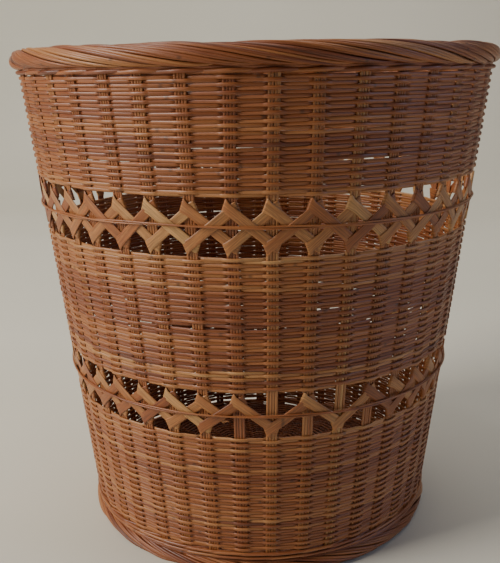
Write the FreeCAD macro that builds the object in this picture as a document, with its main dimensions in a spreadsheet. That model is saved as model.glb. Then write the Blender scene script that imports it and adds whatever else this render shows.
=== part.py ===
"""A round wastebasket woven from thin cane round 41 upright stakes.

The wall is a cone of straight stakes, each a flat group of side-by-side canes.
Going up it has: a foot border, a waling, a woven section, an open band, a woven
section, an open band, a woven section, a waling and a rolled rim border. Each
open band is crossed by a flat splint that zigzags twice round the stakes, with
a pair of round canes tied round its middle. The base is a woven disc on two
crossed layers of split sticks. Millimetres, +Z up, the foot stands on Z = 0.
"""
import FreeCAD, Part
import math
import os

import Sketcher

SIZES = (
    # alias, value, meaning
    ("total_height", 302, "floor to the top of the rim"),
    ("foot_radius", 113.6, "outside of the woven wall, where its slope meets the floor"),
    ("mouth_radius", 147.6, "outside of the woven wall, where its slope meets the rim's top"),
    ("weave_thickness", 4.9, "woven wall, measured level"),
    ("waling_thickness", 6.2, "thicker rows next to the foot and the rim"),
    ("stake_total", 41, "an odd number, so that one weaver alternates by itself"),
    ("first_stake_turn", 273.7, "angle of the first stake, in degrees from +X"),
    ("canes_per_stake", 4, "canes lying side by side in one stake"),
    ("cane_diameter", 1.5, "each cane of a stake"),
    ("cane_gap", 0.04, "between the canes of one stake"),
    ("stake_clearance", 0.05, "round a stake inside the weave"),
    ("foot_height", 9, "foot border"),
    ("foot_thickness", 7.5, "foot border, level"),
    ("foot_chamfer", 2, "both lower edges of the foot border"),
    ("foot_waling_height", 7, "waling on the foot border"),
    ("bottom_weave_height", 76.8, "lowest woven section"),
    ("lower_band_height", 27.7, "lower open band"),
    ("middle_weave_height", 77.3, "middle woven section"),
    ("upper_band_height", 30.7, "upper open band"),
    ("rim_waling_height", 3.3, "paired row under the rim border"),
    ("rim_height", 11.5, "rim border"),
    ("rim_thickness", 10.5, "rim border, level"),
    ("splint_thickness", 0.45, "flat splint of the open bands"),
    ("splint_upright", 6.5, "height that a slanting splint covers at a stake"),
    ("splint_margin", 0.5, "between a splint's fold and the weave"),
    ("splint_clearance", 0.05, "between the splints, the stakes and the band canes"),
    ("band_cane_diameter", 1.1, "each of the two canes round a band's middle"),
    ("base_thickness", 6.5, "woven base"),
    ("stick_thickness", 2.2, "split base stick"),
    ("stick_width", 5, "split base stick"),
    ("stick_spacing", 10, "from one base stick to the next"),
    ("sticks_per_layer", 7, "sticks that lie side by side in one layer"),
    ("stick_end_margin", 6, "from the longest possible stick's end to the base's edge"),
    ("base_clearance", 0.05, "round the base sticks"),
)

# Expressions on the sheet, shared by several pieces.
SLOPE = "((sheet.mouth_radius - sheet.foot_radius) / sheet.total_height)"
CANE_PITCH = "(sheet.cane_diameter + sheet.cane_gap)"
RIM_BOTTOM = "(sheet.total_height - sheet.rim_height)"
FOOT_WALING_TOP = "(sheet.foot_height + sheet.foot_waling_height)"
BOTTOM_WEAVE_TOP = f"({FOOT_WALING_TOP} + sheet.bottom_weave_height)"
LOWER_BAND_TOP = f"({BOTTOM_WEAVE_TOP} + sheet.lower_band_height)"
MIDDLE_WEAVE_TOP = f"({LOWER_BAND_TOP} + sheet.middle_weave_height)"
UPPER_BAND_TOP = f"({MIDDLE_WEAVE_TOP} + sheet.upper_band_height)"
TOP_WEAVE_TOP = f"({RIM_BOTTOM} - sheet.rim_waling_height)"
BASE_TOP = "(sheet.foot_height + sheet.base_thickness)"
BASE_MIDDLE = "(sheet.foot_height + sheet.base_thickness / 2)"

ORIGIN_POINT = (-1, 1)
UPRIGHT_AXIS = -2
LEVEL_AXIS = -1
START, END, CENTRE = 1, 2, 3


def outer_radius(height):
    """The woven wall's outside at a height, as an expression."""
    return f"(sheet.foot_radius + {SLOPE} * {height})"


def inner_radius(height):
    """The woven wall's inside at a height."""
    return f"({outer_radius(height)} - sheet.weave_thickness)"


def stake_radius(height):
    """The middle of the woven wall, where the stakes run."""
    return f"({outer_radius(height)} - sheet.weave_thickness / 2)"


def make_sheet(doc):
    sheet = doc.addObject("Spreadsheet::Sheet", "sheet")
    for row, (alias, value, meaning) in enumerate(SIZES, start=1):
        sheet.set(f"A{row}", alias)
        sheet.set(f"B{row}", str(value))
        sheet.set(f"C{row}", meaning)
        sheet.setAlias(f"B{row}", alias)
    doc.recompute()
    return sheet


def size(sheet, expression):
    """The number that an expression on the sheet gives."""
    value = sheet.evalExpression(expression)
    return float(getattr(value, "Value", value))


def origin_feature(body, role):
    return next(item for item in body.Origin.OriginFeatures if item.Role == role)


def new_body(doc, label):
    body = doc.addObject("PartDesign::Body", label)
    body.Label = label
    return body


def turn_body(body, steps=0):
    """Turns a body to the first stake, or so many stakes further round."""
    body.Placement = FreeCAD.Placement(FreeCAD.Vector(), FreeCAD.Rotation(FreeCAD.Vector(0, 0, 1), 1))
    angle = f"sheet.first_stake_turn + {steps} * 360 / sheet.stake_total"
    body.setExpression("Placement.Rotation.Angle", angle)


def new_sketch(body, label, plane, height=None):
    """A sketch on one of the body's own planes, raised to a height."""
    sketch = body.newObject("Sketcher::SketchObject", label)
    sketch.AttachmentSupport = [(origin_feature(body, plane), "")]
    sketch.MapMode = "FlatFace"
    if height is not None:
        sketch.setExpression("AttachmentOffset.Base.z", height)
    return sketch


def bind(sketch, constraint, expression):
    index = sketch.addConstraint(constraint)
    sketch.setExpression(f"Constraints[{index}]", expression)


def pin_point(sketch, sheet, geometry, point, across, up):
    """Fixes a point by two expressions, or on an axis where one of them is None."""
    for kind, place, axis in (("DistanceX", across, UPRIGHT_AXIS), ("DistanceY", up, LEVEL_AXIS)):
        if place is None:
            sketch.addConstraint(Sketcher.Constraint("PointOnObject", geometry, point, axis))
        else:
            distance = Sketcher.Constraint(kind, *ORIGIN_POINT, geometry, point, size(sheet, place))
            bind(sketch, distance, place)


def draw_outline(sketch, sheet, corners):
    """A closed outline of straight lines through corners given as expressions."""
    points = [
        FreeCAD.Vector(*(0 if place is None else size(sheet, place) for place in corner))
        for corner in corners
    ]
    ends = points[1:] + points[:1]
    lines = [sketch.addGeometry(Part.LineSegment(a, b), False) for a, b in zip(points, ends)]
    for line, following, corner in zip(lines, lines[1:] + lines[:1], corners):
        sketch.addConstraint(Sketcher.Constraint("Coincident", line, END, following, START))
        pin_point(sketch, sheet, line, START, *corner)
    return lines


def draw_circle(sketch, sheet, across, up, diameter):
    middle = FreeCAD.Vector(size(sheet, across), size(sheet, up), 0)
    round_shape = Part.Circle(middle, FreeCAD.Vector(0, 0, 1), size(sheet, diameter) / 2)
    circle = sketch.addGeometry(round_shape, False)
    pin_point(sketch, sheet, circle, CENTRE, across, up)
    bind(sketch, Sketcher.Constraint("Diameter", circle, size(sheet, diameter)), diameter)


def revolve(body, sketch):
    ring = body.newObject("PartDesign::Revolution", f"{body.Name}_turned")
    ring.Profile = sketch
    ring.ReferenceAxis = (origin_feature(body, "Z_Axis"), [""])
    ring.Angle = 360
    return ring


def along_the_wall(feature, height):
    """Makes a pad or pocket follow the wall's slope for a height."""
    feature.UseCustomVector = True
    feature.Direction = FreeCAD.Vector(0, 0, 1)
    feature.setExpression("Direction.x", SLOPE)
    feature.AlongSketchNormal = True
    feature.setExpression("Length", height)


def make_stake(doc, sheet, number):
    """One stake: canes side by side, leaning outwards from foot border to rim border."""
    body = new_body(doc, f"stake_{number:02d}")
    sketch = new_sketch(body, f"{body.Name}_canes", "XY_Plane", "sheet.foot_height")
    for cane in range(round(size(sheet, "sheet.canes_per_stake"))):
        sideways = f"(({cane} - (sheet.canes_per_stake - 1) / 2) * {CANE_PITCH})"
        draw_circle(sketch, sheet, stake_radius("sheet.foot_height"), sideways, "sheet.cane_diameter")
    canes = body.newObject("PartDesign::Pad", f"{body.Name}_length")
    canes.Profile = sketch
    along_the_wall(canes, f"{RIM_BOTTOM} - sheet.foot_height")
    turn_body(body, number - 1)
    return body


def make_wall_section(doc, sheet, label, bottom, top, thickness):
    """A woven ring: a sloping shell with a slot through it for every stake."""
    body = new_body(doc, label)
    profile = new_sketch(body, f"{label}_profile", "XZ_Plane")
    draw_outline(profile, sheet, (
        (f"{inner_radius(bottom)} + {thickness}", bottom),
        (inner_radius(bottom), bottom),
        (inner_radius(top), top),
        (f"{inner_radius(top)} + {thickness}", top),
    ))
    ring = revolve(body, profile)
    doc.recompute()
    whole_volume = ring.Shape.Volume

    half_depth = "(sheet.cane_diameter / 2 + sheet.stake_clearance)"
    half_width = f"(sheet.canes_per_stake * {CANE_PITCH} / 2 + sheet.stake_clearance)"
    middle = stake_radius(bottom)
    outline = new_sketch(body, f"{label}_slot_outline", "XY_Plane", bottom)
    draw_outline(outline, sheet, (
        (f"{middle} - {half_depth}", f"-{half_width}"),
        (f"{middle} + {half_depth}", f"-{half_width}"),
        (f"{middle} + {half_depth}", half_width),
        (f"{middle} - {half_depth}", half_width),
    ))
    slot = body.newObject("PartDesign::Pocket", f"{label}_slot")
    slot.Profile = outline
    along_the_wall(slot, f"{top} - {bottom}")
    doc.recompute()

    slots = body.newObject("PartDesign::PolarPattern", f"{label}_slots")
    slots.Originals = [slot]
    slots.Axis = (origin_feature(body, "Z_Axis"), [""])
    slots.Angle = 360
    slots.setExpression("Occurrences", "sheet.stake_total")
    body.Tip = slots
    turn_body(body)
    doc.recompute()
    cut_volume = whole_volume - slots.Shape.Volume
    one_slot = size(sheet, f"4 * {half_depth} * {half_width} * ({top} - {bottom})")
    expected = one_slot * size(sheet, "sheet.stake_total")
    if abs(cut_volume - expected) > expected / 100:
        raise RuntimeError(f"{label}: slots took {cut_volume:.0f} mm3, not {expected:.0f} mm3")
    return body


def make_rim_border(doc, sheet):
    """The rolled rim: flat below, where it sits on the stakes, and half round on top."""
    body = new_body(doc, "rim_border")
    sketch = new_sketch(body, "rim_profile", "XZ_Plane")
    middle = stake_radius(RIM_BOTTOM)
    inside = f"({middle} - sheet.rim_thickness / 2)"
    outside = f"({middle} + sheet.rim_thickness / 2)"
    shoulder = "(sheet.total_height - sheet.rim_thickness / 2)"
    corners = ((inside, shoulder), (inside, RIM_BOTTOM), (outside, RIM_BOTTOM), (outside, shoulder))
    points = [FreeCAD.Vector(size(sheet, across), size(sheet, up), 0) for across, up in corners]
    sides = [sketch.addGeometry(Part.LineSegment(a, b), False) for a, b in zip(points, points[1:])]
    crown = FreeCAD.Vector(size(sheet, middle), size(sheet, "sheet.total_height"), 0)
    top = sketch.addGeometry(Part.Arc(points[3], crown, points[0]), False)
    for side, corner in zip(sides, corners):
        pin_point(sketch, sheet, side, START, *corner)
    pin_point(sketch, sheet, sides[-1], END, *corners[-1])
    for side, following in zip(sides, sides[1:]):
        sketch.addConstraint(Sketcher.Constraint("Coincident", side, END, following, START))
    sketch.addConstraint(Sketcher.Constraint("Coincident", top, START, sides[-1], END))
    sketch.addConstraint(Sketcher.Constraint("Coincident", top, END, sides[0], START))
    level = Sketcher.Constraint("DistanceY", *ORIGIN_POINT, top, CENTRE, size(sheet, shoulder))
    bind(sketch, level, shoulder)
    revolve(body, sketch)
    return body


def make_foot_border(doc, sheet):
    """The foot border: flat below, where it stands, and flat above, where it carries the wall."""
    body = new_body(doc, "foot_border")
    sketch = new_sketch(body, "foot_profile", "XZ_Plane")
    middle = stake_radius("sheet.foot_height / 2")
    inside = f"({middle} - sheet.foot_thickness / 2)"
    outside = f"({middle} + sheet.foot_thickness / 2)"
    draw_outline(sketch, sheet, (
        (f"{inside} + sheet.foot_chamfer", None),
        (f"{outside} - sheet.foot_chamfer", None),
        (outside, "sheet.foot_chamfer"),
        (outside, "sheet.foot_height"),
        (inside, "sheet.foot_height"),
        (inside, "sheet.foot_chamfer"),
    ))
    revolve(body, sketch)
    return body


def point_on_cone(radius_at, height, angle):
    """A point on the cone at a height and an angle round it."""
    radius = radius_at(height)
    return FreeCAD.Vector(radius * math.cos(angle), radius * math.sin(angle), height)


def make_splint_lap(doc, sheet, label, bottom, top, layer, starts_high):
    """One lap of a splint, from stake to stake, high at one and low at the next.

    It is flat between two stakes and folds at each, so a lap is a chain of flat
    slanting strips with mitred ends. It starts and ends at the stake at the back.
    """
    total = round(size(sheet, "sheet.stake_total"))
    step = 2 * math.pi / total
    thickness = size(sheet, "sheet.splint_thickness")
    half_upright = size(sheet, "sheet.splint_upright / 2")
    low = size(sheet, f"{bottom} + sheet.splint_margin") + half_upright
    high = size(sheet, f"{top} - sheet.splint_margin") - half_upright
    half_stake = size(sheet, f"sheet.canes_per_stake * {CANE_PITCH} / 2")
    corner_room = half_stake * math.tan(step / 2)
    on_stake = size(sheet, "sheet.cane_diameter / 2 + sheet.splint_clearance") + corner_room
    layer_step = thickness / math.cos(step / 2) + size(sheet, "sheet.splint_clearance")
    slope = size(sheet, SLOPE)
    start_radius = size(sheet, stake_radius("0")) + on_stake + layer * layer_step

    def inner(height):
        return start_radius + slope * height

    def outer(height):
        return inner(height) + thickness / math.cos(step / 2)

    def middle_height(stake):
        return high if (stake % 2 == 0) == starts_high else low

    sections = []
    for stake in range(total + 1):
        angle = stake * step
        height = middle_height(stake)
        edges = (height - half_upright, height + half_upright)
        sections.append([
            point_on_cone(inner, edges[0], angle), point_on_cone(inner, edges[1], angle),
            point_on_cone(outer, edges[1], angle), point_on_cone(outer, edges[0], angle),
        ])
    faces = [end_face(sections[0]), end_face(sections[-1])]
    for near, far in zip(sections, sections[1:]):
        for side in range(4):
            following = (side + 1) % 4
            faces += skin(near[side], near[following], far[following], far[side])
    lap = doc.addObject("Part::Feature", label)
    lap.Label = label
    lap.Shape = Part.makeSolid(Part.makeShell(faces))
    turn_body(lap, "floor(sheet.stake_total / 2)")
    return lap


def end_face(corners):
    return Part.Face(Part.makePolygon(corners + corners[:1]))


def skin(first, second, third, fourth):
    """A flat face through four points, or two triangles where they aren't in one plane."""
    corners = [first, second, third, fourth]
    normal = (second - first).cross(third - first).normalize()
    if abs(normal.dot(fourth - first)) < 1e-7:
        return [end_face(corners)]
    return [end_face([first, second, third]), end_face([first, third, fourth])]


def make_band_canes(doc, sheet, label, bottom, top):
    """The pair of round canes that goes round outside a band's splints."""
    body = new_body(doc, label)
    sketch = new_sketch(body, f"{label}_sections", "XZ_Plane")
    middle = f"(({bottom} + {top}) / 2)"
    half_turn = "(180 deg / sheet.stake_total)"
    corner_room = f"(sheet.canes_per_stake * {CANE_PITCH} / 2 * tan({half_turn}))"
    two_laps = f"(2 * (sheet.splint_thickness / cos({half_turn}) + sheet.splint_clearance))"
    wall = (f"{stake_radius(middle)} + sheet.cane_diameter / 2 + sheet.splint_clearance"
            f" + {corner_room} + {two_laps}")
    half_gap = "((sheet.band_cane_diameter + sheet.cane_gap) / 2)"
    for side in ("+", "-"):
        height = f"({middle} {side} {half_gap})"
        across = f"({wall} + {SLOPE} * {half_gap} * 2 + sheet.band_cane_diameter / 2)"
        draw_circle(sketch, sheet, across, height, "sheet.band_cane_diameter")
    revolve(body, sketch)
    return body


def stick_rows(sheet):
    """Offsets of the base sticks of one layer, as expressions."""
    count = round(size(sheet, "sheet.sticks_per_layer"))
    return [f"(({row} - (sheet.sticks_per_layer - 1) / 2) * sheet.stick_spacing)" for row in range(count)]


def draw_stick_sections(sketch, sheet, side, clearance):
    """The cut ends of one layer of sticks, above or below the base's middle."""
    half_width = f"(sheet.stick_width / 2 + {clearance})"
    far = f"({BASE_MIDDLE} {side} (sheet.stick_thickness + {clearance}))"
    for offset in stick_rows(sheet):
        draw_outline(sketch, sheet, (
            (f"{offset} - {half_width}", BASE_MIDDLE),
            (f"{offset} + {half_width}", BASE_MIDDLE),
            (f"{offset} + {half_width}", far),
            (f"{offset} - {half_width}", far),
        ))


STICK_LENGTH = f"(2 * ({inner_radius('sheet.foot_height')} - sheet.stick_end_margin))"
STICK_LAYERS = (
    # label, plane across the sticks, side of the base's middle
    ("base_sticks_lower", "XZ_Plane", "-"),
    ("base_sticks_upper", "YZ_Plane", "+"),
)


def make_base_sticks(doc, sheet, label, plane, side):
    """One layer of split sticks, side by side across the base."""
    body = new_body(doc, label)
    sketch = new_sketch(body, f"{label}_ends", plane)
    draw_stick_sections(sketch, sheet, side, "0")
    sticks = body.newObject("PartDesign::Pad", f"{label}_length")
    sticks.Profile = sketch
    sticks.SideType = "Symmetric"
    sticks.setExpression("Length", STICK_LENGTH)
    return body


def make_base_weave(doc, sheet):
    """The woven base: a disc that fills the foot of the wall, with a tunnel for each stick."""
    body = new_body(doc, "base_weave")
    profile = new_sketch(body, "base_profile", "XZ_Plane")
    draw_outline(profile, sheet, (
        (None, "sheet.foot_height"),
        (inner_radius("sheet.foot_height"), "sheet.foot_height"),
        (inner_radius(BASE_TOP), BASE_TOP),
        (None, BASE_TOP),
    ))
    disc = revolve(body, profile)
    doc.recompute()
    volume = disc.Shape.Volume
    for label, plane, side in STICK_LAYERS:
        sketch = new_sketch(body, f"{label}_tunnel_ends", plane)
        draw_stick_sections(sketch, sheet, side, "sheet.base_clearance")
        tunnels = body.newObject("PartDesign::Pocket", f"{label}_tunnels")
        tunnels.Profile = sketch
        tunnels.SideType = "Symmetric"
        tunnels.setExpression("Length", f"{STICK_LENGTH} + 2 * sheet.base_clearance")
        doc.recompute()
        if tunnels.Shape.Volume >= volume:
            raise RuntimeError(f"{label}: its tunnels cut nothing")
        volume = tunnels.Shape.Volume
    return body


def make_basket(doc, sheet):
    """Every sub-part, from the floor up."""
    pieces = [make_foot_border(doc, sheet), make_base_weave(doc, sheet)]
    for label, plane, side in STICK_LAYERS:
        pieces.append(make_base_sticks(doc, sheet, label, plane, side))
    for number in range(1, round(size(sheet, "sheet.stake_total")) + 1):
        pieces.append(make_stake(doc, sheet, number))
    sections = (
        ("foot_waling", "sheet.foot_height", FOOT_WALING_TOP, "sheet.waling_thickness"),
        ("bottom_weave", FOOT_WALING_TOP, BOTTOM_WEAVE_TOP, "sheet.weave_thickness"),
        ("middle_weave", LOWER_BAND_TOP, MIDDLE_WEAVE_TOP, "sheet.weave_thickness"),
        ("top_weave", UPPER_BAND_TOP, TOP_WEAVE_TOP, "sheet.weave_thickness"),
        ("rim_waling", TOP_WEAVE_TOP, RIM_BOTTOM, "sheet.waling_thickness"),
    )
    for label, bottom, top, thickness in sections:
        pieces.append(make_wall_section(doc, sheet, label, bottom, top, thickness))
    bands = (
        ("lower", BOTTOM_WEAVE_TOP, LOWER_BAND_TOP),
        ("upper", MIDDLE_WEAVE_TOP, UPPER_BAND_TOP),
    )
    for name, bottom, top in bands:
        pieces.append(make_splint_lap(doc, sheet, f"{name}_splint_first_lap", bottom, top, 0, False))
        pieces.append(make_splint_lap(doc, sheet, f"{name}_splint_second_lap", bottom, top, 1, True))
        pieces.append(make_band_canes(doc, sheet, f"{name}_band_canes", bottom, top))
    pieces.append(make_rim_border(doc, sheet))
    return pieces


def check_and_export(doc, pieces):
    """Writes one file for each sub-part, once the whole document is sound."""
    for item in doc.Objects:
        if {"Invalid", "Error"} & set(item.State):
            raise RuntimeError(f"{item.Label} is {item.State}")
    for piece in pieces:
        if piece.Shape.isNull() or not piece.Shape.isValid():
            raise RuntimeError(f"{piece.Label} has no valid shape")
    os.makedirs("parts", exist_ok=True)
    for piece in pieces:
        piece.Shape.exportStep(f"parts/{piece.Label}.step")
        print(f"{piece.Label}: {len(piece.Shape.Solids)} solids, {piece.Shape.Volume / 1000:.2f} cm3")


document = FreeCAD.newDocument("wastebasket")
sizes = make_sheet(document)
basket = make_basket(document, sizes)
document.recompute()
check_and_export(document, basket)
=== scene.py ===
# %% [markdown]
# # A woven cane wastebasket
# The real basket is nothing but cane: upright stakes, thin weavers that pass in front of one stake and
# behind the next, flat splints folded in a zigzag across two open bands, and two rolled borders.
# This lesson builds every cane as real geometry, because woven work shows its quality in the small
# shadows between canes, and no bump texture gives those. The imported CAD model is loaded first. It says
# where each woven section starts and stops, so nothing here is placed by eye.

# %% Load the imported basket
import math

import bpy
import numpy as np
from mathutils import Euler, Matrix, Vector


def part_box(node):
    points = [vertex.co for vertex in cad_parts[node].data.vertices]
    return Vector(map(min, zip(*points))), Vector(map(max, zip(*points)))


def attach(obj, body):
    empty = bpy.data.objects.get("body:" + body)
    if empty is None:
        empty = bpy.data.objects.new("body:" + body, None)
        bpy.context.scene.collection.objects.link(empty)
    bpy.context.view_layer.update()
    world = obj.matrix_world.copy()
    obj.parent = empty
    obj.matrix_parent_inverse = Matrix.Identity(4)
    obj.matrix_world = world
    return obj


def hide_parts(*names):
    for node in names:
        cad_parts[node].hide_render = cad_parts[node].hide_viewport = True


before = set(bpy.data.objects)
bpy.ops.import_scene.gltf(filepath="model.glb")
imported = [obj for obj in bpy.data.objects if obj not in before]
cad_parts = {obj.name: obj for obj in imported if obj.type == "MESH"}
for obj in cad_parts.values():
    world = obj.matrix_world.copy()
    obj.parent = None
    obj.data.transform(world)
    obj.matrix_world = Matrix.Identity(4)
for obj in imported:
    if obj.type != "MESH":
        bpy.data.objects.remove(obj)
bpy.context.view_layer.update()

MM = 0.001

# %% [markdown]
# ## Measure the frame
# A basket maker works from a few sizes: how high each section is, how far the wall leans out, and where
# the stakes stand. All of them can be read from the CAD nodes. The height of a section is the height of
# its box. The wall is a cone, so its radius at any height follows from the radius at two heights, and a
# stake's place round the basket is the direction of its middle.

# %% Read heights, radii and stake angles
def heights(node):
    low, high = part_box(node)
    return low.z, high.z


def node_points(node):
    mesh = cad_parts[node].data
    points = np.empty(len(mesh.vertices) * 3, np.float32)
    mesh.vertices.foreach_get("co", points)
    return points.reshape(-1, 3).astype(float)


def radii_at(node, height):
    """Smallest and largest distance from the axis among a ring's points at one height."""
    points = node_points(node)
    level = points[np.abs(points[:, 2] - height) < 0.05 * MM]
    distance = np.hypot(level[:, 0], level[:, 1])
    return distance.min(), distance.max()


FOOT_LOW, FOOT_HIGH = heights("foot_border")
BOTTOM_WEAVE = heights("bottom_weave")
MIDDLE_WEAVE = heights("middle_weave")
TOP_WEAVE = heights("top_weave")
RIM_LOW, RIM_HIGH = heights("rim_border")
LOWER_BAND = (BOTTOM_WEAVE[1], MIDDLE_WEAVE[0])
UPPER_BAND = (MIDDLE_WEAVE[1], TOP_WEAVE[0])

low_inner, low_outer = radii_at("bottom_weave", BOTTOM_WEAVE[0])
high_outer = radii_at("top_weave", TOP_WEAVE[1])[1]
LEAN = (high_outer - low_outer) / (TOP_WEAVE[1] - BOTTOM_WEAVE[0])
WALL_THICKNESS = low_outer - low_inner
FLOOR_RADIUS = (low_inner + low_outer) / 2 - LEAN * BOTTOM_WEAVE[0]


def wall_radius(height):
    """The middle of the woven wall, where the stakes run."""
    return FLOOR_RADIUS + LEAN * height


STAKE_NAMES = sorted(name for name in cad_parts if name.startswith("stake_"))
STAKE_COUNT = len(STAKE_NAMES)
middles = [node_points(name).mean(axis=0) for name in STAKE_NAMES]
FIRST_ANGLE = math.atan2(middles[0][1], middles[0][0])
PITCH = 2 * math.pi / STAKE_COUNT
BACK_STAKE = STAKE_COUNT // 2
print(f"{STAKE_COUNT} stakes, first at {math.degrees(FIRST_ANGLE):.1f} degrees, lean {LEAN:.3f}, "
      f"wall {WALL_THICKNESS / MM:.1f} mm, floor radius {FLOOR_RADIUS / MM:.1f} mm")

# %% [markdown]
# ## The canes' own sizes
# Wicker of this kind is woven from the core of the rattan palm, split or drawn to a few gauges. Stakes
# are four canes side by side. A weaver is wider than one of them and flatter in section. Its rows step up
# by a little less than its own height, because they are pushed down tight. The gauges are set once here.

# %% Gauges
STAKE_CANES = 4
STAKE_WIDTH, STAKE_DEPTH = 1.64 * MM, 0.95 * MM
STAKE_STEP = 1.54 * MM
WEAVER_HEIGHT, WEAVER_DEPTH = 2.06 * MM, 1.05 * MM
ROW_STEP = 1.88 * MM
SPLINT_WIDTH = 5.3 * MM
SPLINT_THICKNESS = 0.36 * MM
STAKE_HALF_WIDTH = STAKE_STEP * STAKE_CANES / 2
SWING = (STAKE_DEPTH + WEAVER_DEPTH) / 2
print(f"a weaver swings {SWING / MM:.2f} mm to each side of the stakes")

# %% [markdown]
# ## Small unevenness
# Hand work is never regular, but it isn't noisy either: a stake leans a little for its whole length, and
# rows rise and fall slowly round the basket. Smooth random curves give that. Each curve below is a short
# list of random values with a cubic blend between them, and it closes on itself where it goes round.

# %% Smooth random curves
rng = np.random.default_rng(41)


def smooth_step(share):
    """Eases from 0 to 1, level at both ends."""
    return share * share * (3 - 2 * share)


def smooth_curve(knots, amount, closed=True):
    """Returns f(x) for x in 0..1: smooth random values of about the given size."""
    values = rng.normal(0, amount, knots)

    def curve(x):
        x = np.asarray(x, float) * (knots if closed else knots - 1)
        base = np.floor(x).astype(int)
        blend = smooth_step(x - base)
        if closed:
            first, second = base % knots, (base + 1) % knots
        else:
            first, second = np.clip(base, 0, knots - 1), np.clip(base + 1, 0, knots - 1)
        return values[first] * (1 - blend) + values[second] * blend

    return curve


STAKE_SHIFT = rng.normal(0, 0.45 * MM, STAKE_COUNT)
STAKE_DRIFT = rng.normal(0, 0.5 * MM, STAKE_COUNT)
STAKE_WAVER = [smooth_curve(5, 0.35 * MM, closed=False) for _ in range(STAKE_COUNT)]


def stake_angle(stake, height):
    """Where a stake stands round the basket, with its own small lean and waver."""
    along = np.clip((height - FOOT_HIGH) / (RIM_LOW - FOOT_HIGH), 0, 1)
    sideways = STAKE_SHIFT[stake] + STAKE_DRIFT[stake] * (along - 0.5) + STAKE_WAVER[stake](along)
    return FIRST_ANGLE + stake * PITCH + sideways / wall_radius(height)


def on_wall(angle, height, outward=0.0):
    """Points on the cone: an angle, a height and a distance out from the stakes' line."""
    radius = wall_radius(height) + outward
    return np.stack([radius * np.cos(angle), radius * np.sin(angle), height + 0 * angle], axis=-1)


print("largest stake shift", round(float(np.abs(STAKE_SHIFT).max() / MM), 2), "mm")

# %% [markdown]
# ## From a path to a cane
# A curve object with a round bevel would also make a cane, but hundreds of splines are slow to convert
# and carry no data about the fibre. So each cane is swept here: a ring of points is carried along its
# path, facing out from the basket so that it never twists. Every point also stores where it is on the
# cane (along, and across in both directions) and the cane's own tone. The material reads both, so the
# fibres follow every bend and each cane has its own colour.

# %% Sweep canes into one mesh
def soft_power(values, power):
    """Raises sizes to a power and keeps signs. A power below 1 squares an ellipse off."""
    return np.sign(values) * np.abs(values) ** power


class CaneBundle:
    """Collects swept canes and turns them into one mesh object."""

    def __init__(self):
        self.points, self.grain, self.tone = [], [], []
        self.corners, self.face_sizes = [], []
        self.count = 0

    def add_rings(self, rings, grain, tone):
        """Skins a grid of points (rings x points in a ring) and closes both ends. Faces look outwards."""
        length, around = rings.shape[:2]
        index = self.count + np.arange(length * around).reshape(length, around)
        beside = np.roll(index, -1, axis=1)
        sides = np.stack([index[:-1], index[1:], beside[1:], beside[:-1]], axis=-1).reshape(-1)
        self.corners += [sides, index[0], index[-1][::-1]]
        self.face_sizes += [np.full((length - 1) * around, 4), np.array([around, around])]
        self.points.append(rings.reshape(-1, 3))
        self.grain.append(grain.reshape(-1, 3))
        self.tone.append(np.broadcast_to(np.reshape(tone, (-1, 1)), (length, around)).ravel())
        self.count += length * around

    def add_cane(self, path, facing, width, depth, tone, sides=6, taper=True, roundness=1.0):
        """A cane along a path. facing points away from what it lies on; less roundness is flatter."""
        path = np.asarray(path, float)
        facing = np.broadcast_to(facing, path.shape)
        heading = np.gradient(path, axis=0)
        heading /= np.linalg.norm(heading, axis=1, keepdims=True)
        up = facing - heading * np.sum(facing * heading, axis=1, keepdims=True)
        up /= np.linalg.norm(up, axis=1, keepdims=True)
        side = np.cross(heading, up)
        swell = np.ones(len(path))
        if taper:
            swell[[0, -1]] = 0.55
        turn = np.linspace(0, 2 * np.pi, sides, endpoint=False)
        across = swell[:, None] * soft_power(np.cos(turn), roundness) * width / 2
        lift = swell[:, None] * soft_power(np.sin(turn), roundness) * depth / 2
        rings = path[:, None] + side[:, None] * across[..., None] + up[:, None] * lift[..., None]
        steps = np.linalg.norm(np.diff(path, axis=0), axis=1)
        along = np.concatenate([[0], np.cumsum(steps)]) + tone * 3.0
        grain = np.stack([np.broadcast_to(along[:, None], across.shape), across, lift], axis=-1) / MM
        grain[..., 1] += tone * 700
        self.add_rings(rings, grain, tone)

    def to_object(self, name, material):
        mesh = bpy.data.meshes.new(name)
        points = np.concatenate(self.points)
        corners = np.concatenate(self.corners)
        face_sizes = np.concatenate(self.face_sizes)
        mesh.vertices.add(len(points))
        mesh.vertices.foreach_set("co", points.astype(np.float32).ravel())
        mesh.loops.add(len(corners))
        mesh.loops.foreach_set("vertex_index", corners.astype(np.int32))
        mesh.polygons.add(len(face_sizes))
        starts = np.concatenate([[0], np.cumsum(face_sizes)[:-1]])
        mesh.polygons.foreach_set("loop_start", starts.astype(np.int32))
        mesh.update(calc_edges=True)
        mesh.shade_smooth()
        grain = mesh.attributes.new("grain", "FLOAT_VECTOR", "POINT")
        grain.data.foreach_set("vector", np.concatenate(self.grain).astype(np.float32).ravel())
        tone = mesh.attributes.new("tone", "FLOAT", "POINT")
        tone.data.foreach_set("value", np.concatenate(self.tone).astype(np.float32))
        mesh.materials.append(material)
        piece = bpy.data.objects.new(name, mesh)
        bpy.context.scene.collection.objects.link(piece)
        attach(piece, "root")
        print(f"{name}: {len(face_sizes)} faces")
        return piece


def outwards(angle):
    """Unit vectors that point straight out from the axis."""
    return np.stack([np.cos(angle), np.sin(angle), 0 * angle], axis=-1)

# %% [markdown]
# ## Varnished cane
# Cane is pale straw when new. This basket has a tinted varnish that has gone honey brown on some canes
# and red brown on others, so the tone of a cane picks its colour from a ramp. Fibres run along the cane:
# a noise texture stretched along the first grain direction draws them, and the same noise lifts the
# surface a little, so the varnish breaks up the light. Every hand's width or two a cane has a node, a
# darker ring where a leaf grew. The varnish itself is the shader's coat.

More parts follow.
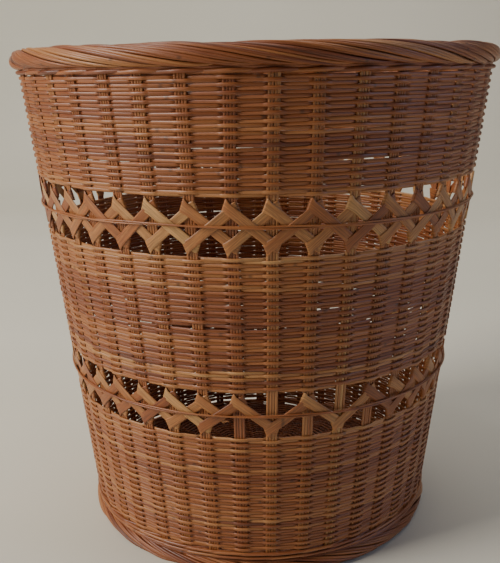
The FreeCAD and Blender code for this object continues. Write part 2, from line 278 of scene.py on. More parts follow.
# %% The cane material
def link(tree, source, target):
    tree.links.new(source, target)


def new_node(tree, kind, **settings):
    node = tree.nodes.new(kind)
    for name, value in settings.items():
        setattr(node, name, value)
    return node


def set_ramp(node, stops):
    ramp = node.color_ramp
    while len(ramp.elements) < len(stops):
        ramp.elements.new(1.0)
    for element, (place, colour) in zip(ramp.elements, stops):
        element.position = place
        element.color = (*colour, 1.0)


def maths(tree, operation, first, second, clamp=False):
    """A math node. first and second are sockets or numbers."""
    node = new_node(tree, "ShaderNodeMath", operation=operation, use_clamp=clamp)
    for slot, value in enumerate((first, second)):
        if isinstance(value, bpy.types.NodeSocket):
            link(tree, value, node.inputs[slot])
        else:
            node.inputs[slot].default_value = value
    return node.outputs[0]


def stretched_noise(tree, grain, scale, detail, roughness=0.6):
    stretch = new_node(tree, "ShaderNodeVectorMath", operation="MULTIPLY")
    link(tree, grain, stretch.inputs[0])
    stretch.inputs[1].default_value = scale
    noise = new_node(tree, "ShaderNodeTexNoise")
    link(tree, stretch.outputs[0], noise.inputs["Vector"])
    noise.inputs["Scale"].default_value = 1.0
    noise.inputs["Detail"].default_value = detail
    noise.inputs["Roughness"].default_value = roughness
    return noise.outputs["Fac"]


def spread(tree, value, from_low, from_high, to_low, to_high):
    node = new_node(tree, "ShaderNodeMapRange")
    link(tree, value, node.inputs["Value"])
    for name, number in zip(("From Min", "From Max", "To Min", "To Max"),
                            (from_low, from_high, to_low, to_high)):
        node.inputs[name].default_value = number
    return node.outputs["Result"]


def shade(tree, colour, amount):
    """Multiplies a colour by a grey amount."""
    node = new_node(tree, "ShaderNodeVectorMath", operation="SCALE")
    link(tree, colour, node.inputs[0])
    link(tree, amount, node.inputs["Scale"])
    return node.outputs[0]


def cane_material(name, stops, node_ring_gap=230.0, coat=0.22, gloss=0.42, fibre=1.0,
                  drift=0.16, patch=50.0, strand=0.24):
    """Varnished cane whose colour ramp is read by each cane's tone."""
    material = bpy.data.materials.new(name)
    material.use_nodes = True
    tree = material.node_tree
    shader = tree.nodes["Principled BSDF"]
    grain = new_node(tree, "ShaderNodeAttribute", attribute_name="grain").outputs["Vector"]
    tone = new_node(tree, "ShaderNodeAttribute", attribute_name="tone").outputs["Fac"]

    slow = stretched_noise(tree, grain, (1 / patch, 0.35, 0.35), 2.0)
    wander = spread(tree, slow, 0.3, 0.7, -drift, drift)
    ramp = new_node(tree, "ShaderNodeValToRGB")
    set_ramp(ramp, stops)
    link(tree, maths(tree, "ADD", tone, wander, clamp=True), ramp.inputs["Fac"])

    fibres = stretched_noise(tree, grain, (0.06, 1 / strand, 1 / strand), 4.0, 0.7)
    fleck = stretched_noise(tree, grain, (0.9, 2.2, 2.2), 3.0)
    fibre_shade = spread(tree, fibres, 0.3, 0.7, 1 - 0.28 * fibre, 1 + 0.2 * fibre)
    fleck_shade = spread(tree, fleck, 0.62, 0.8, 1.0, 0.62)

    along = new_node(tree, "ShaderNodeSeparateXYZ")
    link(tree, grain, along.inputs[0])
    cycle = maths(tree, "PINGPONG", along.outputs["X"], node_ring_gap / 2)
    ring = spread(tree, cycle, 0.4, 1.6, 1.0, 0.0)
    ring_shade = maths(tree, "SUBTRACT", 1.0, maths(tree, "MULTIPLY", ring, 0.45))

    shading = maths(tree, "MULTIPLY", maths(tree, "MULTIPLY", fibre_shade, fleck_shade), ring_shade)
    link(tree, shade(tree, ramp.outputs["Color"], shading), shader.inputs["Base Color"])
    link(tree, spread(tree, fibres, 0.3, 0.7, gloss - 0.06, gloss + 0.14), shader.inputs["Roughness"])

    bump = new_node(tree, "ShaderNodeBump")
    bump.inputs["Strength"].default_value = 0.5
    bump.inputs["Distance"].default_value = 0.12 * MM
    link(tree, maths(tree, "ADD", fibres, maths(tree, "MULTIPLY", ring, 0.8)), bump.inputs["Height"])
    link(tree, bump.outputs["Normal"], shader.inputs["Normal"])
    link(tree, bump.outputs["Normal"], shader.inputs["Coat Normal"])
    shader.inputs["Coat Weight"].default_value = coat
    shader.inputs["Coat Roughness"].default_value = 0.34
    shader.inputs["IOR"].default_value = 1.5
    return material


STRAW, HONEY, TAN = (0.54, 0.29, 0.11), (0.42, 0.175, 0.055), (0.34, 0.11, 0.03)
RED_BROWN, DARK_BROWN = (0.22, 0.056, 0.015), (0.1, 0.026, 0.009)

weaver_finish = cane_material("weaver_cane", (
    (0.0, DARK_BROWN), (0.22, RED_BROWN), (0.55, TAN), (0.85, HONEY), (1.0, STRAW)))
stake_finish = cane_material("stake_cane", (
    (0.0, RED_BROWN), (0.45, TAN), (0.8, HONEY), (1.0, STRAW)))
border_finish = cane_material("border_cane", (
    (0.0, DARK_BROWN), (0.25, RED_BROWN), (0.6, TAN), (1.0, HONEY)), coat=0.16, gloss=0.44,
    strand=0.36)
splint_finish = cane_material("splint", (
    (0.0, RED_BROWN), (0.35, TAN), (0.65, HONEY), (1.0, STRAW)),
    coat=0.12, gloss=0.46, fibre=2.0, drift=0.15, patch=20.0, strand=0.55)
base_finish = cane_material("base_cane", (
    (0.0, DARK_BROWN), (0.4, RED_BROWN), (1.0, TAN)), coat=0.2, gloss=0.42)
print("materials", [m.name for m in bpy.data.materials if m.use_nodes])

# %% [markdown]
# ## Stakes
# The stakes are set up first and everything is woven round them. Each is four canes that lie side by
# side like a ribbon, run from the foot border to the rim, and lean out with the wall. The CAD stakes are
# straight bars, so each is replaced by four swept canes that waver a little and differ in tone.

# %% Sweep the stakes
STAKE_TONE = np.clip(rng.normal(0.45, 0.2, STAKE_COUNT), 0.02, 0.98)
BURIED = 2.5 * MM
stake_heights = np.linspace(FOOT_HIGH - BURIED, RIM_LOW + BURIED, 64)
stake_run = (stake_heights - stake_heights[0]) / (stake_heights[-1] - stake_heights[0])


def make_stake(stake, name):
    bundle = CaneBundle()
    angle = stake_angle(stake, stake_heights)
    for cane in range(STAKE_CANES):
        sideways = (cane - (STAKE_CANES - 1) / 2) * STAKE_STEP + smooth_curve(9, 0.07 * MM, False)(stake_run)
        lift = smooth_curve(9, 0.06 * MM, False)(stake_run)
        cane_angle = angle + sideways / wall_radius(stake_heights)
        path = on_wall(cane_angle, stake_heights, lift)
        tone = float(np.clip(STAKE_TONE[stake] + rng.normal(0, 0.1), 0, 1))
        bundle.add_cane(path, outwards(cane_angle), STAKE_WIDTH * rng.uniform(0.95, 1.02), STAKE_DEPTH, tone,
                        sides=8)
    piece = bundle.to_object(name.replace("stake_", "stake_canes_"), stake_finish)
    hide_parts(name)


for number, stake_name in enumerate(STAKE_NAMES):
    make_stake(number, stake_name)

# %% [markdown]
# ## The plain weave
# One weaver goes round and round in a rising spiral. Because the number of stakes is odd, it comes back
# to every stake on the other side of it, and so the rows alternate by themselves. A weaver comes slowly
# off the flat stake, lies level in the gap and dives just before the next one. Eight listed values give
# that shape, where a plain wave would never lie level. The first and last turns climb half as steeply, so
# that the section ends level. At worn places the rows are pushed apart and light comes through. A cane is
# only a few metres long, so the spiral is cut into canes that end behind a stake, as a weaver joins them.

# %% Weave one section
SWING_VALUES = [1, 0.96, 0.66, 0.25, 0.03, 0, -0.44, -0.96]
STEPS = len(SWING_VALUES)
TIGHT = 2.5 * MM


def step_places(height, slack):
    """Fractions of the way to the next stake at which the weaver bends."""
    gap = PITCH * wall_radius(height)
    edge, loose, tight = STAKE_HALF_WIDTH / gap, slack / gap, TIGHT / gap
    return np.array([0, edge * 0.9, edge + loose * 0.35, edge + loose * 0.7, edge + loose,
                     1 - edge - tight, 1 - edge - tight / 2, 1 - edge])


def swing_shape(fraction, places):
    """1 over one stake, -1 at the next. It leaves slowly, lies level, then dives at the next stake."""
    return np.interp(fraction, np.append(places, 1), SWING_VALUES + [-1])


def fine_positions(first, last, places):
    """Places along a cane, counted in stakes, closer together where the cane bends."""
    steps = np.arange(first, last)[:, None] + places
    return np.append(steps.ravel(), last)


def spiral_rows(turn, rows):
    """Rows climbed by a spiral whose first and last turns lie half as steep, to give level edges."""
    return turn - 0.5 * np.minimum(turn, 1) - 0.5 * np.clip(turn - rows + 1, 0, 1)


def row_wander(turns):
    """How far rows rise and fall: smooth round the basket, and alike from row to row."""
    layers = [smooth_curve(9, 0.28 * MM) for _ in range(max(2, int(turns / 9)))]

    def wander(turn):
        place = np.clip(turn / turns, 0, 1) * (len(layers) - 1)
        below = np.floor(place).astype(int)
        above = np.minimum(below + 1, len(layers) - 1)
        around = turn % 1.0
        values = np.array([layer(around) for layer in layers])
        picks = np.arange(len(turn))
        mix = place - below
        return values[below, picks] * (1 - mix) + values[above, picks] * mix

    return wander


def open_slits(turn, slits):
    """Pushes rows apart at a few places, so that light comes through the wall there."""
    shift = np.zeros_like(turn)
    for row, place, gap in slits:
        offset = turn - np.floor(turn) - place
        offset -= np.round(offset)
        rows_away = turn - offset - place - row
        reach = np.exp(-(offset * STAKE_COUNT / 1.3) ** 2)
        shift += np.sign(rows_away + 0.5) * gap * reach * np.exp(-np.abs(rows_away + 0.5) / 3.0)
    return shift


def weave_section(name, node, slack, worn_places, other_slits):
    """worn_places: stake, share of the height, and how far the rows have spread."""
    low, high = heights(node)
    turns = round((high - low) / ROW_STEP)
    edge = WEAVER_HEIGHT * 0.36
    step = (high - low - 2 * edge) / (turns - 1)
    crossings = np.arange(turns * STAKE_COUNT + 1)
    wander = row_wander(turns)
    places = step_places((low + high) / 2, slack)
    slits = [(round(share * turns), (stake - BACK_STAKE) / STAKE_COUNT % 1, gap * MM)
             for stake, share, gap in worn_places]
    slits += [(rng.integers(3, turns - 3), rng.uniform(-0.3, 0.3) % 1, rng.uniform(0.2, 0.5) * MM)
              for _ in range(other_slits)]
    bundle = CaneBundle()
    first = 0
    while first < crossings[-1]:
        length = int(rng.uniform(1.3, 2.6) * STAKE_COUNT)
        last = min(first + length, crossings[-1])
        last -= 1 - last % 2
        if crossings[-1] - last < STAKE_COUNT // 2:
            last = crossings[-1]
        tone = float(np.clip(rng.normal(0.46, 0.13), 0.2, 1))
        if rng.random() < 0.05:
            tone = float(rng.uniform(0.66, 0.84))
        weave_cane(bundle, first, last, low + edge, step, turns, wander, slits, places, tone)
        first = last
    piece = bundle.to_object(name, weaver_finish)
    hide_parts(node)


def weave_cane(bundle, first, last, start_height, step, turns, wander, slits, places, tone):
    """One cane of the spiral, from one crossing of a stake to a later one."""
    position = fine_positions(first, last, places)
    crossing = np.minimum(np.floor(position).astype(int), last - 1)
    fraction = position - crossing
    turn = position / STAKE_COUNT
    edge = np.clip(np.minimum(turn, turns - turn) / 3.0, 0, 1)
    height = start_height + spiral_rows(turn, turns) * step
    height = height + (wander(turn) + open_slits(turn, slits)) * edge
    jitter = rng.normal(0, 0.09 * MM, last - first + 2)
    swing_jitter = rng.normal(1.0, 0.05, last - first + 2)
    local = crossing - first
    height = height + jitter[local] * (1 - fraction) + jitter[local + 1] * fraction
    angle = angle_between(crossing, fraction, height)
    side = np.where(crossing % 2 == 0, 1.0, -1.0)
    swing = swing_jitter[local] * (1 - fraction) + swing_jitter[local + 1] * fraction
    outward = side * SWING * swing * swing_shape(fraction, places)
    path = on_wall(angle, height, outward)
    gauge = rng.uniform(0.95, 1.04)
    bundle.add_cane(path, outwards(angle), WEAVER_HEIGHT * gauge, WEAVER_DEPTH * gauge, tone,
                    roundness=0.75)


def stake_angles(crossing, height):
    """stake_angle for arrays of crossings, counted from the stake at the back."""
    angle = np.empty(len(crossing))
    for stake in range(STAKE_COUNT):
        chosen = (crossing + BACK_STAKE) % STAKE_COUNT == stake
        if chosen.any():
            angle[chosen] = stake_angle(stake, height[chosen])
    return angle


def angle_between(crossing, fraction, height):
    """The angle at a fraction of the way from one stake to the next."""
    here = stake_angles(crossing, height)
    there = stake_angles(crossing + 1, height)
    there = here + (there - here + math.pi) % (2 * math.pi) - math.pi
    return here + (there - here) * fraction


weave_section("bottom_weave_canes", "bottom_weave", 2.9 * MM,
              [(40.4, 0.8, 0.3)], 5)
weave_section("middle_weave_canes", "middle_weave", 2.8 * MM,
              [(38.5, 0.48, 0.5), (39.5, 0.5, 0.5), (40.4, 0.56, 0.35), (0.5, 0.5, 0.5), (1.5, 0.6, 0.4),
               (3.5, 0.5, 0.55), (4.4, 0.47, 0.5), (5.4, 0.42, 0.45), (5.5, 0.66, 0.45),
               (6.5, 0.58, 0.4)], 12)
weave_section("top_weave_canes", "top_weave", 2.8 * MM,
              [(37.5, 0.3, 0.4), (38.5, 0.25, 0.5), (39.4, 0.42, 0.3), (2.4, 0.3, 0.5),
               (1.4, 0.55, 0.35)], 6)

# %% [markdown]
# ## Walings
# The first and last rows carry the borders, so they are stronger: several rods are twined round the
# stakes together. In the foot's waling three rods each pass in front of two stakes and behind one. Under
# the rim two rods are paired, and they cross each other in every gap. Each rod climbs over the others
# before it dives behind a stake, and this gives waling its slanting, rope-like look.

# %% Twine the walings
WALE_SLACK = 1.5 * MM


def wale(name, node, rods, gauge, rows):
    """Rods that each pass before (rods - 1) stakes and behind one, as a rising spiral."""
    low, high = heights(node)
    edge = gauge * 0.4
    step = (high - low - 2 * edge) / max(1, rows - 1)
    swing = (STAKE_DEPTH + gauge) / 2
    bundle = CaneBundle()
    for rod in range(rods):
        last = rows * STAKE_COUNT
        position = fine_positions(0, last, step_places(low, WALE_SLACK))
        cycle = (position - rod) % rods
        to_dive = np.minimum(cycle, rods - cycle)
        outward = swing * (1 - 2 * np.clip(1 - to_dive, 0, 1) ** 1.2 * (2 - np.clip(1 - to_dive, 0, 1)))
        climb = cycle / rods * gauge * 0.6
        turn = position / STAKE_COUNT
        height = np.minimum(low + edge + spiral_rows(turn, rows) * step + climb, high - edge)
        crossing = np.minimum(np.floor(position).astype(int), last - 1)
        angle = angle_between(crossing, position - crossing, height)
        tone = float(np.clip(rng.normal(0.5, 0.15), 0, 1))
        bundle.add_cane(on_wall(angle, height, outward), outwards(angle), gauge, gauge, tone)
    piece = bundle.to_object(name, weaver_finish)
    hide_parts(node)


wale("foot_waling_rods", "foot_waling", 3, 1.9 * MM, 2)
wale("rim_waling_rods", "rim_waling", 2, 2.5 * MM, 1)

# %% [markdown]
# ## Folded splints
# In each open band a flat splint zigzags from a fold high on one stake to a fold low on the next. At a
# fold it comes across the front of the stake, turns round its right edge, goes back behind it, comes
# round its left edge and leaves across its own incoming run, so the fold shows as two pointed ears. With
# an odd number of stakes one splint goes round twice and makes a fold above and below on every stake.
# The second lap lies over the first. A ribbon is swept here as a flat bar whose width always stands
# upright, because a slanting strip cut by upright fold lines has exactly that shape. In the lower band
# one lap has broken away over five stakes, and loose fibres stand at its end.

# %% Sweep a splint
EAR_LEAN = 0.36
SPLINT_CLEAR = STAKE_DEPTH / 2 + SPLINT_THICKNESS * 0.6
LAP_LIFT = SPLINT_THICKNESS * 1.3
BROKEN_STAKES = (40, 0, 1, 2, 3)
BROKEN_REACH = 0.62
LOOSE_FIBRES, LOOSE_LENGTH = 5, 5 * MM
FOLD_STEPS = 6
RUN_STEPS = 10


class Ribbon:
    """A list of stations along a splint: angle, height, distance out, lean, width share and tone."""

    def __init__(self):
        self.stations = []

    def station(self, angle, height, outward, tone, lean=0.0, width=1.0, normal_turn=0.0):
        self.stations.append((angle, height, outward, tone, lean, width, normal_turn))

    def add_to(self, bundle, upright, thickness, across=8):
        angle, height, outward, tone, lean, width, normal_turn = np.array(self.stations).T
        middle = on_wall(angle, height, outward)
        sideways = np.stack([-np.sin(angle), np.cos(angle), 0 * angle], axis=-1)
        out = outwards(angle)
        upward = np.stack([LEAN * out[:, 0], LEAN * out[:, 1], 1 + 0 * angle], axis=-1)
        width_line = (upward + sideways * lean[:, None]) * (upright * width / 2)[:, None]
        normal = out * np.cos(normal_turn)[:, None] + sideways * np.sin(normal_turn)[:, None]
        share = np.linspace(-1, 1, across + 1)
        crown = (1 - share ** 4) * 0.06 * MM - 0.05 * MM * (np.arange(across + 1) % 2)
        front = middle[:, None] + width_line[:, None] * share[:, None]
        front = front + normal[:, None] * (thickness / 2 + crown)[:, None]
        back = front[:, ::-1] - normal[:, None] * thickness
        rings = np.concatenate([front, back], axis=1)
        steps = np.linalg.norm(np.diff(middle, axis=0), axis=1)
        along = np.concatenate([[0], np.cumsum(steps)])
        across_mm = np.concatenate([share, share[::-1]]) * SPLINT_WIDTH / 2
        grain = np.zeros(rings.shape)
        grain[..., 0] = along[:, None]
        grain[..., 1] = across_mm
        grain[..., 2] = np.repeat([0.0, thickness], across + 1)
        bundle.add_rings(rings, grain / MM, tone)


def fold_stations(ribbon, stake, height, upward_fold, tones):
    """Round the back of a stake, from the end of one run to the start of the next."""
    side = 1 if upward_fold else -1
    middle = stake_angle(stake, height)
    radius = wall_radius(height)
    turns = np.linspace(0, np.pi, FOLD_STEPS)
    for turn in turns:
        sideways = STAKE_HALF_WIDTH + SPLINT_CLEAR * np.sin(turn)
        tucked = height - side * 0.5 * MM
        ribbon.station(middle + sideways / radius, tucked, SPLINT_CLEAR * np.cos(turn), tones[0],
                       -side * EAR_LEAN, 0.78, turn)
    for turn in turns[::-1]:
        sideways = -STAKE_HALF_WIDTH - SPLINT_CLEAR * np.sin(turn)
        out = SPLINT_CLEAR * np.cos(turn) + LAP_LIFT * (1 + np.cos(turn)) / 2
        ribbon.station(middle + sideways / radius, height, out, tones[1],
                       side * EAR_LEAN, 0.96, 2 * np.pi - turn)


def run_stations(ribbon, stake, start, end, layer, tone, reach=1.0):
    """The straight run across the gap, from one stake's left ear to the next stake's right ear."""
    begin = stake_angle(stake % STAKE_COUNT, start) - STAKE_HALF_WIDTH / wall_radius(start)
    finish = stake_angle((stake + 1) % STAKE_COUNT, end) + STAKE_HALF_WIDTH / wall_radius(end)
    finish = begin + (finish - begin) % (2 * math.pi)
    for share in np.linspace(0, reach, RUN_STEPS + 2)[1:-1]:
        angle = begin + (finish - begin) * share
        height = start + (end - start) * share
        over = SPLINT_CLEAR + LAP_LIFT * (1 - share) ** 0.7
        over += layer * LAP_LIFT * math.sin(math.pi * share)
        ribbon.station(angle, height, over, tone)


def fray(bundle, ribbon, fibres, length):
    """Loose fibres at the broken end of a ribbon."""
    angle, height, outward, tone, *_ = ribbon.stations[-1]
    for share in np.linspace(-0.4, 0.4, fibres):
        reach = np.linspace(0, length * rng.uniform(0.5, 1), 5)
        drop = share * SPLINT_WIDTH * 1.2 + reach * rng.uniform(-0.7, 0.3)
        lift = outward + (reach / length) ** 2 * rng.uniform(-0.8, 1.2) * MM
        path = on_wall(angle + (reach - 1.5 * MM) / wall_radius(height), height + drop, lift)
        facing = np.tile(outwards(angle), (5, 1))
        bundle.add_cane(path, facing, 0.55 * MM, 0.3 * MM, tone)


def make_splint_lap(name, node, band, layer, starts_high, skip=()):
    """One lap of a band's splint. skip lists stakes where it has broken away."""
    low, high = band
    chord = wall_radius((low + high) / 2) * PITCH + 2 * STAKE_HALF_WIDTH
    upright = SPLINT_WIDTH * math.hypot(1, (high - low - SPLINT_WIDTH) / chord)
    fold_low = low + upright / 2 + 0.3 * MM
    fold_high = high - upright / 2 - 0.3 * MM
    fold_height = {}
    for step in range(STAKE_COUNT + 1):
        at_top = (step % 2 == 0) == starts_high
        fold_height[step] = (fold_high if at_top else fold_low) + rng.normal(0, 0.25 * MM)
    tones = np.clip(rng.normal(0.55, 0.3, STAKE_COUNT + 1), 0.08, 1)
    bundle = CaneBundle()
    ribbon = Ribbon()
    for step in range(STAKE_COUNT):
        stake = (BACK_STAKE + step) % STAKE_COUNT
        if stake in skip:
            if ribbon.stations:
                ribbon.add_to(bundle, upright, SPLINT_THICKNESS)
                fray(bundle, ribbon, LOOSE_FIBRES, LOOSE_LENGTH)
            ribbon = Ribbon()
            continue
        at_top = (step % 2 == 0) == starts_high
        fold_stations(ribbon, stake, fold_height[step], at_top, tones[step:step + 2])
        reach = BROKEN_REACH if (stake + 1) % STAKE_COUNT in skip else 1.0
        run_stations(ribbon, stake, fold_height[step], fold_height[step + 1], layer, tones[step + 1],
                     reach)
    if ribbon.stations:
        ribbon.add_to(bundle, upright, SPLINT_THICKNESS)
    piece = bundle.to_object(name, splint_finish)
    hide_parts(node)


make_splint_lap("upper_splint_lap_1", "upper_splint_first_lap", UPPER_BAND, 0, False)
make_splint_lap("upper_splint_lap_2", "upper_splint_second_lap", UPPER_BAND, 1, True)
make_splint_lap("lower_splint_lap_1", "lower_splint_first_lap", LOWER_BAND, 0, False, BROKEN_STAKES)
make_splint_lap("lower_splint_lap_2", "lower_splint_second_lap", LOWER_BAND, 1, True)

# %% [markdown]
# ## The pair of canes round each band
# Two thin canes are carried round the middle of each band, over the splints, and hold them flat. They
# lie one above the other and change places now and then, as a loose twist does.

# %% Carry two thin canes round a band
def make_band_pair(name, node):
    low, high = heights(node)
    middle = (low + high) / 2
    gauge = 1.05 * MM
    outward = STAKE_DEPTH / 2 + SPLINT_THICKNESS * 2.6 + gauge / 2
    turn = np.linspace(0, 1, STAKE_COUNT * STEPS)
    twist = 2 * math.pi * 7 * turn + smooth_curve(12, 0.9)(turn)
    wave = smooth_curve(14, 0.45 * MM)(turn)
    bundle = CaneBundle()
    for side in (0, math.pi):
        height = middle + wave + gauge * 0.55 * np.cos(twist + side)
        out = outward + gauge * 0.3 * (1 + np.sin(twist + side))
        angle = FIRST_ANGLE + (turn + 0.5) * 2 * math.pi
        tone = float(rng.uniform(0.3, 0.6))
        bundle.add_cane(on_wall(angle, height, out), outwards(angle), gauge, gauge, tone)
    piece = bundle.to_object(name, weaver_finish)
    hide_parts(node)


make_band_pair("upper_band_pair", "upper_band_canes")
make_band_pair("lower_band_pair", "lower_band_canes")

# %% [markdown]
# ## Rolled borders
# At the rim each stake's canes are bent over to the right, rolled over the canes of the next few stakes
# and tucked under, so the border becomes a rope. A rope is easy to write down: each cane turns round the
# middle of the border while it moves along it. The canes of one stake stay together, so there is a small
# step between groups: three canes to a group at the rim, two at the foot. The ring section, its middle
# and its width, is read from the CAD border. A core fills the middle, as the older ends do on the real
# border, and one more cane closes the gap between the rope and the weave.

# %% Roll a border
def border_section(node):
    """Radius of a border's middle, height of its middle, half its width and half its height."""
    points = node_points(node)
    distance = np.hypot(points[:, 0], points[:, 1])
    low, high = points[:, 2].min(), points[:, 2].max()
    return ((distance.min() + distance.max()) / 2, (low + high) / 2,
            (distance.max() - distance.min()) / 2, (high - low) / 2)


def roll_border(name, node, canes, from_turn, to_turn, slope, gauge, edge_height, steps=44):
    """Groups of canes rolled round a ring, from one angle of its section to another."""
    middle_radius, middle_height, half_width, half_height = border_section(node)
    girth = (half_width + half_height - gauge) / 2 * abs(to_turn - from_turn)
    travel = girth / math.tan(slope) / middle_radius
    spacing = PITCH / canes * 0.84
    share = np.linspace(0, 1, steps)
    leaf = 0.62 + 0.38 * np.sin(np.pi * share)
    ends = np.clip(np.minimum(share, 1 - share) / 0.12, 0, 1)
    bundle = CaneBundle()
    for group in range(STAKE_COUNT):
        group_tone = rng.normal(0.52, 0.2)
        group_lift = rng.normal(0, 0.25 * MM)
        group_start = FIRST_ANGLE + group * PITCH + rng.normal(0, 0.05) * PITCH
        swell = smooth_curve(5, 0.24 * MM, False)(share)
        for cane in range(canes):
            beside = (cane - (canes - 1) / 2) * spacing * leaf
            angle = group_start + share * travel + beside
            turn = from_turn + (to_turn - from_turn) * share + rng.normal(0, 0.02)
            lift = group_lift + swell + rng.normal(0, 0.22 * MM)
            inset = gauge * 0.5 + (1 - ends) ** 2 * gauge * 1.1 - lift * ends
            across = (half_width - inset) * np.cos(turn)
            rise = (half_height - inset) * np.sin(turn)
            radius = middle_radius + across
            height = np.maximum(middle_height + rise, FOOT_LOW + gauge * 0.4)
            path = np.stack([radius * np.cos(angle), radius * np.sin(angle), height], axis=-1)
            facing = outwards(angle) * np.cos(turn)[:, None]
            facing[:, 2] = np.sin(turn)
            tone = float(np.clip(group_tone + rng.normal(0, 0.15), 0, 1))
            thickness = gauge * rng.uniform(0.93, 1.05)
            bundle.add_cane(path, facing, thickness, thickness, tone)
    core_angle = np.linspace(0, 2 * math.pi, 240)
    core_path = np.stack([middle_radius * np.cos(core_angle), middle_radius * np.sin(core_angle),
                          middle_height + 0 * core_angle], axis=-1)
    bundle.add_cane(core_path, outwards(core_angle), 2 * (half_height - gauge * 1.05),
                    2 * (half_width - gauge * 1.05), 0.1, sides=10, taper=False)
    bundle.add_cane(on_wall(core_angle, edge_height), outwards(core_angle), 2.6 * MM, 2.2 * MM, 0.3,
                    taper=False)
    piece = bundle.to_object(name, border_finish)
    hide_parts(node)


roll_border("rim_rope", "rim_border", 3, math.radians(215), math.radians(-100), math.radians(9.5),
            1.75 * MM, RIM_LOW + 0.4 * MM)
roll_border("foot_rope", "foot_border", 2, math.radians(130), math.radians(-130), math.radians(9.5),
            1.75 * MM, FOOT_HIGH - 0.4 * MM)

# %% [markdown]
# ## The base
# The base is started in the middle: seven split sticks one way, seven across them, and then the ends are
# bent apart like spokes and woven round and round out to the wall. The sticks are flat ovals. Their
# number is even, so alternate rows start on the other side of a spoke.

# %% Lay the sticks and weave the base
BASE_LOW, BASE_HIGH = heights("base_weave")
BASE_MIDDLE = (BASE_LOW + BASE_HIGH) / 2
BASE_RADIUS = radii_at("base_weave", BASE_LOW)[1]
STICKS = 7
STICK_WIDTH, STICK_DEPTH = 2.9 * MM, 1.9 * MM
CROSS_STEP = 4.2 * MM
CROSS_REACH = (STICKS + 1) / 2 * CROSS_STEP
SPOKES = 4 * STICKS


def make_base_sticks(name, node, quarter, height):
    """A layer of sticks that lie side by side in the middle and fan out to the edge."""
    bundle = CaneBundle()
    for stick in range(STICKS):
        offset = (stick - (STICKS - 1) / 2) * CROSS_STEP
        fan = (stick - (STICKS - 1) / 2) * 2 * math.pi / SPOKES
        reach = np.linspace(-1, 1, 61) * (BASE_RADIUS - 3 * MM)
        bend = smooth_step(np.clip((np.abs(reach) - CROSS_REACH) / (BASE_RADIUS * 0.35), 0, 1))
        target = np.sin(fan) * np.abs(reach)
        sideways = offset * (1 - bend) + target * bend
        forward = reach * (1 - bend * (1 - np.cos(fan)))
        level = height * (1 - bend)
        flat = np.stack([forward, sideways, BASE_MIDDLE + level], axis=-1)
        if quarter:
            flat = np.stack([-flat[:, 1], flat[:, 0], flat[:, 2]], axis=-1)
        tone = float(np.clip(rng.normal(0.5, 0.15), 0, 1))
        bundle.add_cane(flat, (0, 0, 1), STICK_WIDTH, STICK_DEPTH, tone, sides=8)
    piece = bundle.to_object(name, base_finish)
    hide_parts(node)


def weave_base(name, node):
    bundle = CaneBundle()
    swing = (STICK_DEPTH + WEAVER_DEPTH) / 2
    rows = int((BASE_RADIUS - CROSS_REACH - 2 * MM) / ROW_STEP)
    for row in range(rows):
        radius = CROSS_REACH + 2 * MM + row * (BASE_RADIUS - CROSS_REACH - 3 * MM) / rows
        position = np.linspace(0, SPOKES, SPOKES * 6 + 1)
        angle = position * 2 * math.pi / SPOKES
        lift = np.cos(position * math.pi + row * math.pi) * swing
        wander = radius + smooth_curve(8, 0.15 * MM)(position / SPOKES)
        path = np.stack([wander * np.cos(angle), wander * np.sin(angle), BASE_MIDDLE + lift], axis=-1)
        tone = float(np.clip(rng.normal(0.5, 0.2), 0, 1))
        bundle.add_cane(path, (0, 0, 1), WEAVER_HEIGHT, WEAVER_DEPTH, tone, taper=False)
    piece = bundle.to_object(name, base_finish)
    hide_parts(node)


make_base_sticks("base_sticks_lower_canes", "base_sticks_lower", False, -STICK_DEPTH / 2)
make_base_sticks("base_sticks_upper_canes", "base_sticks_upper", True, STICK_DEPTH / 2)
weave_base("base_weave_canes", "base_weave")

# %% [markdown]
# ## Floor, light and camera
# The floor is a pale sheet that sweeps up far behind, so that no horizon shows. The main light is a large
# soft one at the left, as a window would be. A weak cool one at the right shows mostly in the varnish, and
# a wide one overhead lights the sheet behind. The room itself gives little light, and looks bright only
# to the camera. The camera looks slightly down.

# %% Floor
def make_floor():
    """A sheet that lies flat and then sweeps up far behind, so that no horizon shows."""
    half_width, front_edge, flat_end, bend = 2.4, -1.1, 1.3, 0.7
    turns = np.linspace(0, math.pi / 2, 13)
    profile = [(front_edge, 0.0)]
    profile += [(flat_end + bend * math.sin(turn), bend * (1 - math.cos(turn))) for turn in turns]
    profile.append((flat_end + bend, 3.0))
    points = [(side * half_width, away, up) for away, up in profile for side in (-1, 1)]
    faces = [(2 * row, 2 * row + 1, 2 * row + 3, 2 * row + 2) for row in range(len(profile) - 1)]
    mesh = bpy.data.meshes.new("floor")
    mesh.from_pydata(points, [], faces)
    mesh.shade_smooth()
    material = bpy.data.materials.new("pale_floor")
    material.use_nodes = True
    tree = material.node_tree
    shader = tree.nodes["Principled BSDF"]
    shader.inputs["Roughness"].default_value = 0.75
    mottle = new_node(tree, "ShaderNodeTexNoise")
    mottle.inputs["Scale"].default_value = 9.0
    ramp = new_node(tree, "ShaderNodeValToRGB")
    set_ramp(ramp, ((0.3, (0.67, 0.63, 0.52)), (0.7, (0.71, 0.67, 0.56))))
    link(tree, mottle.outputs["Fac"], ramp.inputs["Fac"])
    link(tree, ramp.outputs["Color"], shader.inputs["Base Color"])
    mesh.materials.append(material)
    floor = bpy.data.objects.new("floor", mesh)
    floor.location.z = FOOT_LOW
    bpy.context.scene.collection.objects.link(floor)


make_floor()

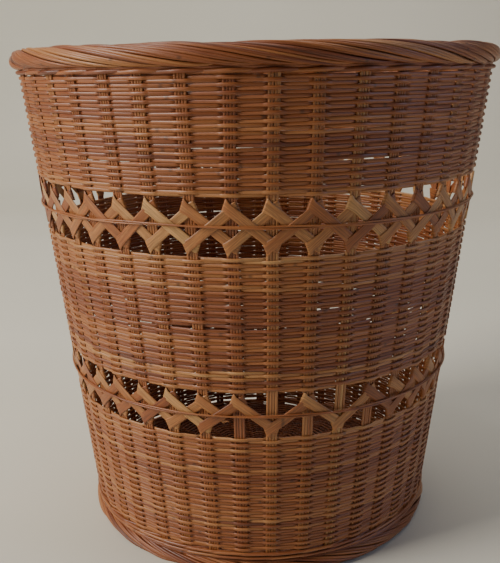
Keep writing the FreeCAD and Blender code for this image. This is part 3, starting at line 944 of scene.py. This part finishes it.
# %% Lights
def area_light(name, place, target, size, power, colour):
    light = bpy.data.lights.new(name, "AREA")
    light.shape = "RECTANGLE"
    light.size, light.size_y = size
    light.energy = power
    light.color = colour
    holder = bpy.data.objects.new(name, light)
    holder.location = place
    direction = np.array(target) - np.array(place)
    holder.rotation_euler = Vector(direction).to_track_quat("-Z", "Y").to_euler()
    bpy.context.scene.collection.objects.link(holder)


BASKET_HEIGHT = RIM_HIGH - FOOT_LOW
basket_middle = (0, 0, BASKET_HEIGHT / 2)
area_light("window_light", (-1.6, -0.58, 1.2), basket_middle, (0.9, 1.1), 46, (1.0, 0.97, 0.92))
area_light("far_fill", (1.5, -0.4, 0.7), basket_middle, (0.7, 0.9), 5.5, (0.5, 0.64, 1.0))
area_light("ceiling_glow", (0, 1.0, 2.3), (0, 1.5, 0.2), (3.0, 2.0), 28, (1.0, 0.98, 0.95))

world = bpy.data.worlds.new("room")
bpy.context.scene.world = world
world.use_nodes = True
background = world.node_tree.nodes["Background"]
background.inputs["Color"].default_value = (0.86, 0.85, 0.84, 1.0)
ray = new_node(world.node_tree, "ShaderNodeLightPath")
strength = spread(world.node_tree, ray.outputs["Is Camera Ray"], 0, 1, 0.06, 0.84)
link(world.node_tree, strength, background.inputs["Strength"])
print("lights", [light.name for light in bpy.data.lights])

# %% Camera
LENS, SENSOR_WIDTH = 50.8, 36.0
CAMERA_PLACE = (0, -0.5223, 0.2895)
LOOK_DOWN, TURN_LEFT, TILT = math.radians(15.0), math.radians(0.55), math.radians(-0.8)


def make_camera():
    data = bpy.data.cameras.new("camera")
    data.lens = LENS
    data.sensor_width = SENSOR_WIDTH
    camera = bpy.data.objects.new("camera", data)
    camera.location = CAMERA_PLACE
    camera.rotation_mode = "XYZ"
    aim = Euler((math.pi / 2 - LOOK_DOWN, 0, TURN_LEFT), "XYZ").to_matrix()
    camera.rotation_euler = (aim @ Matrix.Rotation(TILT, 3, "Z")).to_euler("XYZ")
    bpy.context.scene.collection.objects.link(camera)
    bpy.context.scene.camera = camera


make_camera()
print("camera at", CAMERA_PLACE, "with a lens of", LENS, "mm")
